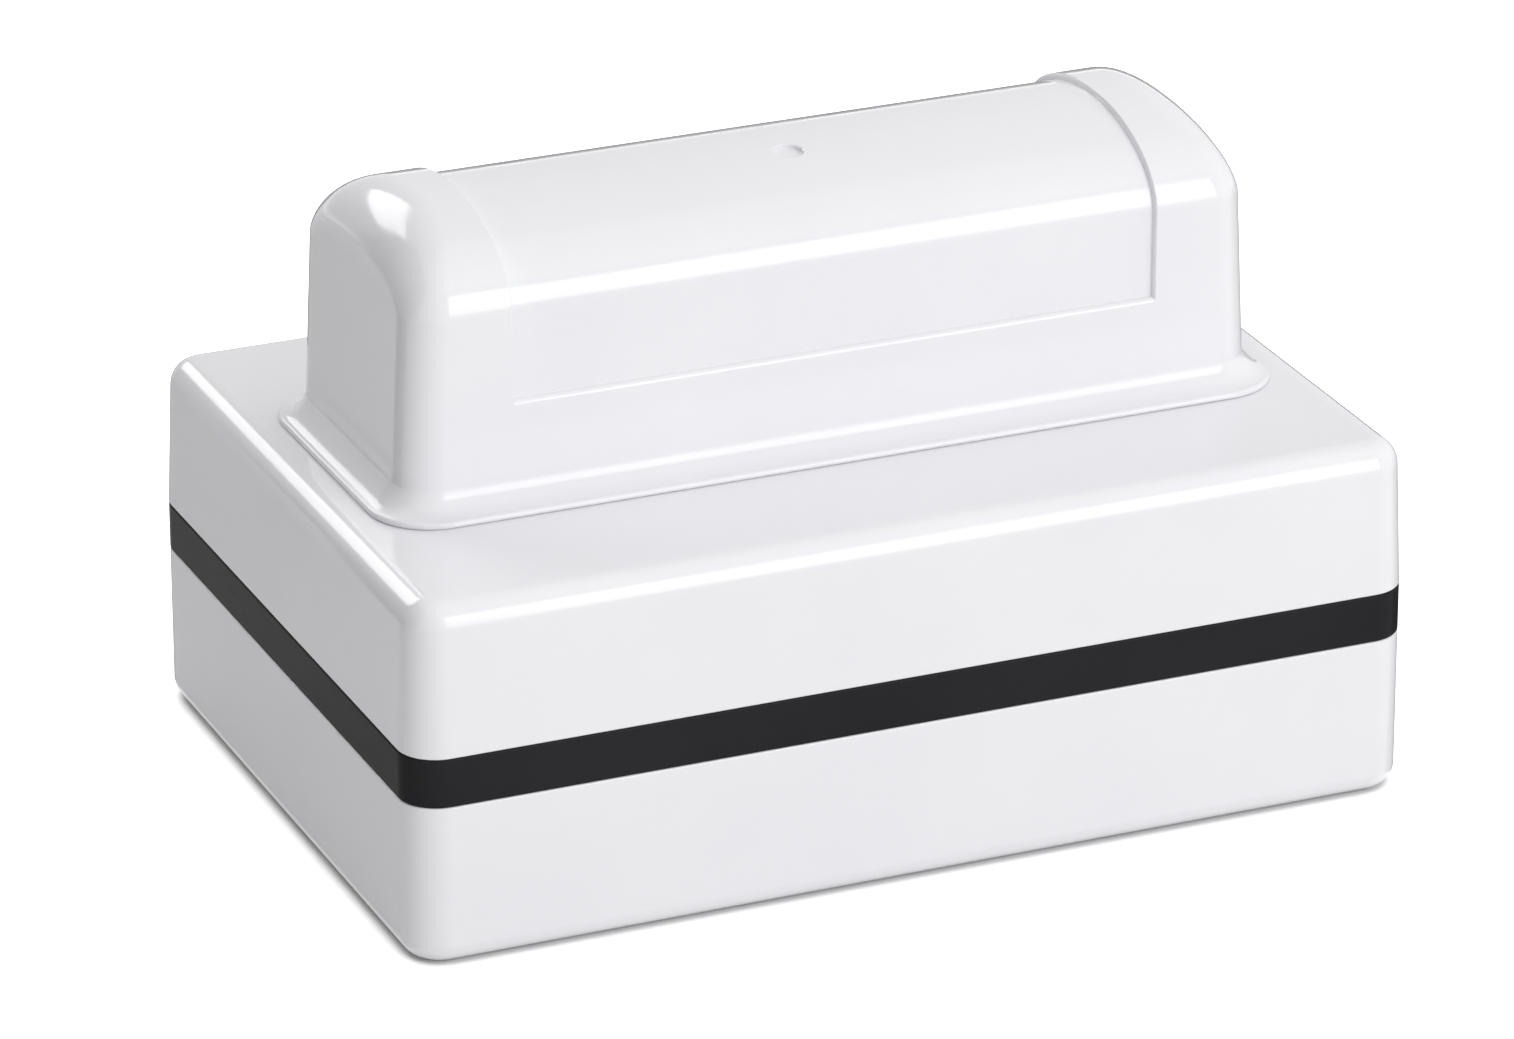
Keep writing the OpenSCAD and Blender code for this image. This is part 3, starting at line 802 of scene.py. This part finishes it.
def make_clamp():
    edge = FINE_ROUND
    outline = [
        *arc(CLAMP_OUT + edge, CLAMP_LOW + edge, edge, 270, 180),
        *arc(CLAMP_OUT + edge, CLAMP_TOP - edge, edge, 180, 90),
        *arc(CLAMP_IN - edge, CLAMP_TOP - edge, edge, 90, 0),
        (CLAMP_IN, DIE_EDGE_LOW),
        *arc(LIP_OPEN - edge, DIE_EDGE_LOW - edge, edge, 90, 0),
        *arc(LIP_OPEN - edge, CLAMP_LOW + edge, edge, 0, -90),
    ]
    clamp = swept("die_clamp_frame", outline, closed=True)
    finish_piece(clamp, "stamp", dark_plastic, "die_clamp")


# The die block, which keeps its shape from the frame

def finish_die_block():
    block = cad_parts["die_block"]
    block.data.materials.clear()
    block.data.materials.append(dark_plastic)


make_cap()
make_band()
make_housing()
make_handle()
make_skirt()
for index, place in enumerate(corners(POST_X, POST_Y)):
    make_spring(index + 1, place)
make_block_screws()
make_stop_screws()
make_washers()
make_pad()
make_die()
make_clamp()
finish_die_block()


# The floor and the light

PALE = (1, 1, 1, 1)
LAMP_DISTANCE = 0.8
STAGE_CENTRE = Vector((0, 0, 0.03))


def seen_directly(tree):
    """1 for rays from the camera, a mirror or glass, 0 for the rest."""
    path = tree.nodes.new("ShaderNodeLightPath")
    total = path.outputs["Is Camera Ray"]
    for name in ("Is Glossy Ray", "Is Transmission Ray"):
        add = tree.nodes.new("ShaderNodeMath")
        add.use_clamp = True
        tree.links.new(total, add.inputs[0])
        tree.links.new(path.outputs[name], add.inputs[1])
        total = add.outputs["Value"]
    return total


def multiply(tree, a, b):
    node = tree.nodes.new("ShaderNodeMath")
    node.operation = "MULTIPLY"
    tree.links.new(a, node.inputs[0])
    tree.links.new(b, node.inputs[1])
    return node.outputs["Value"]


def make_floor():
    """White paper that glows where it is seen directly. The glow dims with ambient occlusion near the
    object, a painted contact shadow over the paper's real shadow.
    """
    size = 6.0
    paper = (0.8, 0.8, 0.8, 1)
    glow = 1.0
    shadow_reach = 2.8 * MM
    dark_openness, bright_openness = 0.3, 0.8
    points = [(-size, -size, 0), (size, -size, 0), (size, size, 0), (-size, size, 0)]
    floor = piece_from("floor", points, [(0, 1, 2, 3)])
    look = bpy.data.materials.new("floor")
    look.use_nodes = True
    tree = look.node_tree
    shader = tree.nodes["Principled BSDF"]
    shader.inputs["Base Color"].default_value = paper
    shader.inputs["Roughness"].default_value = 0.9
    shader.inputs["Specular IOR Level"].default_value = 0
    shader.inputs["Emission Color"].default_value = PALE
    # Painted contact shadow: the glow fades as the ambient occlusion finds the object within shadow_reach
    openness = tree.nodes.new("ShaderNodeAmbientOcclusion")
    openness.inputs["Distance"].default_value = shadow_reach
    level = tree.nodes.new("ShaderNodeMapRange")
    level.inputs["From Min"].default_value = dark_openness
    level.inputs["From Max"].default_value = bright_openness
    level.inputs["To Max"].default_value = glow
    tree.links.new(openness.outputs["AO"], level.inputs["Value"])
    strength = multiply(tree, seen_directly(tree), level.outputs["Result"])
    tree.links.new(strength, shader.inputs["Emission Strength"])
    floor.data.materials.append(look)


def make_world():
    fill = 0.79
    world = bpy.data.worlds.new("studio")
    bpy.context.scene.world = world
    world.use_nodes = True
    background = world.node_tree.nodes["Background"]
    background.inputs["Color"].default_value = PALE
    background.inputs["Strength"].default_value = fill


def towards(azimuth, elevation):
    """A direction from the object; azimuth 0 is to the right and 90 to the back."""
    azimuth, elevation = math.radians(azimuth), math.radians(elevation)
    return Vector((
        math.cos(elevation) * math.cos(azimuth),
        math.cos(elevation) * math.sin(azimuth),
        math.sin(elevation),
    ))


def add_softbox(name, azimuth, elevation, spread, brightness):
    """A rectangular lamp that spreads over so many degrees across and up, as seen from the object.
    A brightness of 1 is white."""
    lamp = bpy.data.lights.new(name, "AREA")
    lamp.shape = "RECTANGLE"
    lamp.size, lamp.size_y = (2 * LAMP_DISTANCE * math.tan(math.radians(angle / 2)) for angle in spread)
    lamp.energy = brightness * math.pi * lamp.size * lamp.size_y
    holder = bpy.data.objects.new(name, lamp)
    bpy.context.scene.collection.objects.link(holder)
    out = towards(azimuth, elevation)
    holder.location = STAGE_CENTRE + out * LAMP_DISTANCE
    holder.rotation_euler = out.to_track_quat("Z", "Y").to_euler()


def add_card(name, points, grey):
    """A card in one grey, with four corners, that the object mirrors and the camera doesn't see."""
    card = piece_from(name, points, [(0, 1, 2, 3)])
    look = bpy.data.materials.new(name)
    look.use_nodes = True
    shader = look.node_tree.nodes["Principled BSDF"]
    shader.inputs["Base Color"].default_value = (grey, grey, grey, 1)
    shader.inputs["Roughness"].default_value = 1
    shader.inputs["Specular IOR Level"].default_value = 0
    card.data.materials.append(look)
    card.visible_camera = False
    return card


def add_flag(name, azimuth, distance, half_width, height):
    """A black card that keeps light off one side. It ends just above the floor, and leaves no line there."""
    lift = 3 * MM
    black = 0.06
    out = towards(azimuth, 0)
    along = Vector((-out.y, out.x, 0)) * half_width
    foot = out * distance + Vector((0, 0, lift))
    up = Vector((0, 0, height))
    points = [foot - along, foot + along, foot + along + up, foot - along + up]
    add_card(name, points, black)


def lay_card(name, low, high, grey):
    """A card that lies on the floor; it shows in mirrors only, and takes no light from the floor."""
    lift = 0.3 * MM
    (x0, y0), (x1, y1) = low, high
    points = [(x0, y0, lift), (x1, y0, lift), (x1, y1, lift), (x0, y1, lift)]
    card = add_card(name, points, grey)
    card.visible_shadow = False
    card.visible_diffuse = False


def lay_cards():
    """White paper in front and on the left, and black behind and on the right. The black cards stand in for
    floor in shade and paint dark reflections along the outlines.
    """
    white, black = 0.9, 0.03
    gap = 0.5 * MM
    reach = 1.0
    x, y = HALF_W + gap, HALF_D + gap
    lay_card("front_card", (-reach, -reach), (reach, -y), white)
    lay_card("left_card", (-reach, -y), (-x, reach), white)
    # Painted reflections: black cards, seen in mirrors only, where the floor would lie in shade
    lay_card("right_card", (x, -y), (reach, y), black)
    lay_card("back_card", (-x, y), (reach, reach), black)


make_floor()
make_world()
add_softbox("front", azimuth=294, elevation=20, spread=(18, 40), brightness=3.5)
add_softbox("behind", azimuth=107, elevation=30.5, spread=(23, 20), brightness=3.8)
add_softbox("top", azimuth=285, elevation=76, spread=(60, 50), brightness=0.4)
add_flag("left_flag", azimuth=161, distance=0.6, half_width=0.49, height=1.0)
add_flag("near_flag", azimuth=161, distance=0.11, half_width=0.033, height=0.075)
lay_cards()


# The camera, at the photograph's angle

IMAGE_W = 1514
CAMERA_AZIMUTH = -23.042
CAMERA_ELEVATION = 23.105
CAMERA_ROLL = -0.084
CAMERA_DISTANCE = 0.73593
CAMERA_AIM = (-1.955 * MM, -0.056 * MM, 21.836 * MM)
FOCAL_PIXELS = 8197.2
SENSOR_WIDTH = 36


def make_camera():
    azimuth, elevation, roll = map(math.radians, (CAMERA_AZIMUTH, CAMERA_ELEVATION, CAMERA_ROLL))
    turn = Matrix.Rotation(azimuth, 4, "Z") @ Matrix.Rotation(math.pi / 2 - elevation, 4, "X")
    turn = turn @ Matrix.Rotation(roll, 4, "Z")
    data = bpy.data.cameras.new("camera")
    data.sensor_width = SENSOR_WIDTH
    data.lens = FOCAL_PIXELS / IMAGE_W * SENSOR_WIDTH
    camera = bpy.data.objects.new("camera", data)
    bpy.context.scene.collection.objects.link(camera)
    back = turn @ Vector((0, 0, CAMERA_DISTANCE))
    camera.matrix_world = Matrix.Translation(Vector(CAMERA_AIM) + back) @ turn
    bpy.context.scene.camera = camera


make_camera()
bpy.context.scene.view_settings.view_transform = "Standard"
